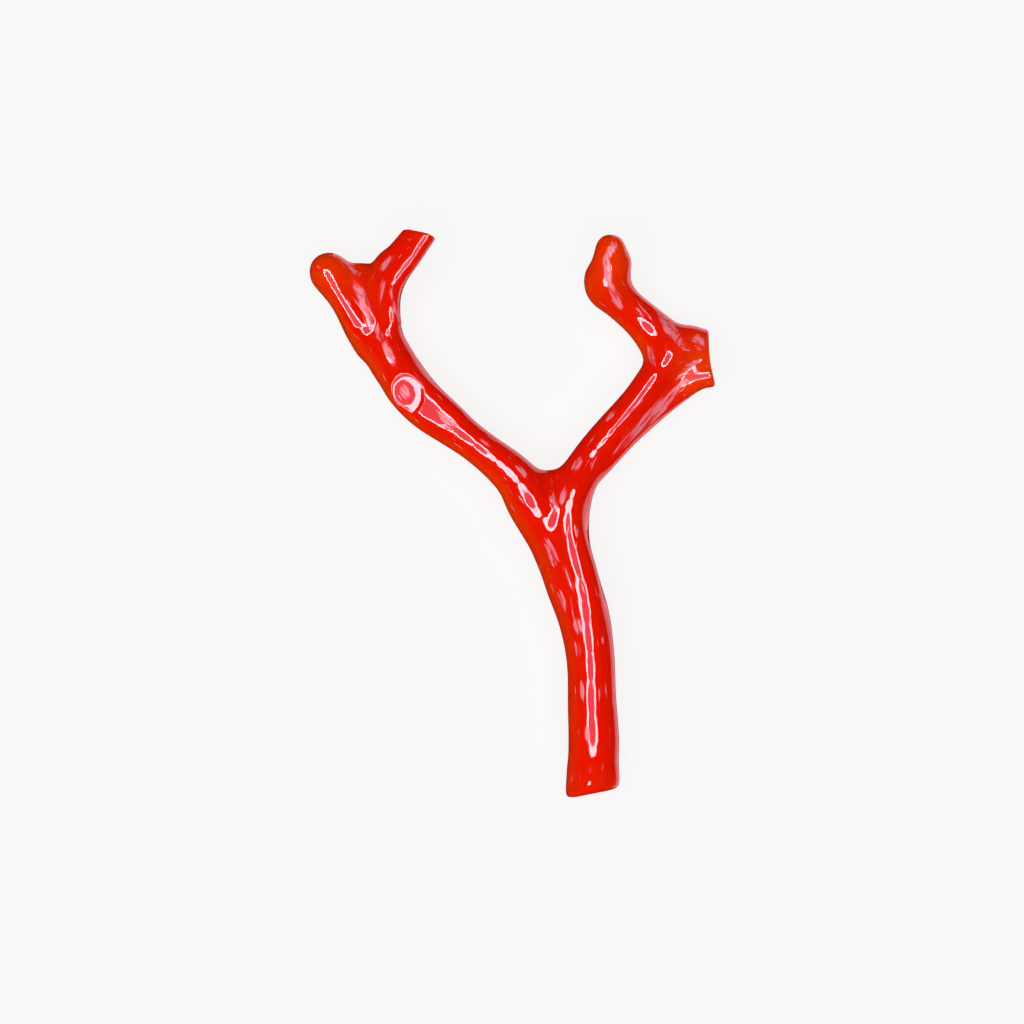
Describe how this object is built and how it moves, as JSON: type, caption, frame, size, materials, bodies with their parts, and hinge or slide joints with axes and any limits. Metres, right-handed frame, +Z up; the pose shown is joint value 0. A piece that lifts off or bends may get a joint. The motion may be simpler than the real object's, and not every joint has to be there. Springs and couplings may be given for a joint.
{
  "type": "red coral branch",
  "caption": "Polished branch of red coral, Y shaped, lying flat: a cut stem that forks into two arms, which fork again into a knob, a bent finger and cut stubs.",
  "frame": {"origin": "middle of the bounding box, on the surface that the branch lies on", "axes": "+Y from the cut base towards the twigs, +Z up from the surface, +X towards the right arm"},
  "size_m": [0.0468, 0.0654, 0.008],
  "materials": {
    "coral": "polished"
  },
  "bodies": {
    "root": {"stem": "coral", "left_arm": "coral", "left_knob": "coral", "left_stub": "coral", "right_arm": "coral", "right_finger": "coral", "right_stub": "coral"}
  },
  "joints": []
}
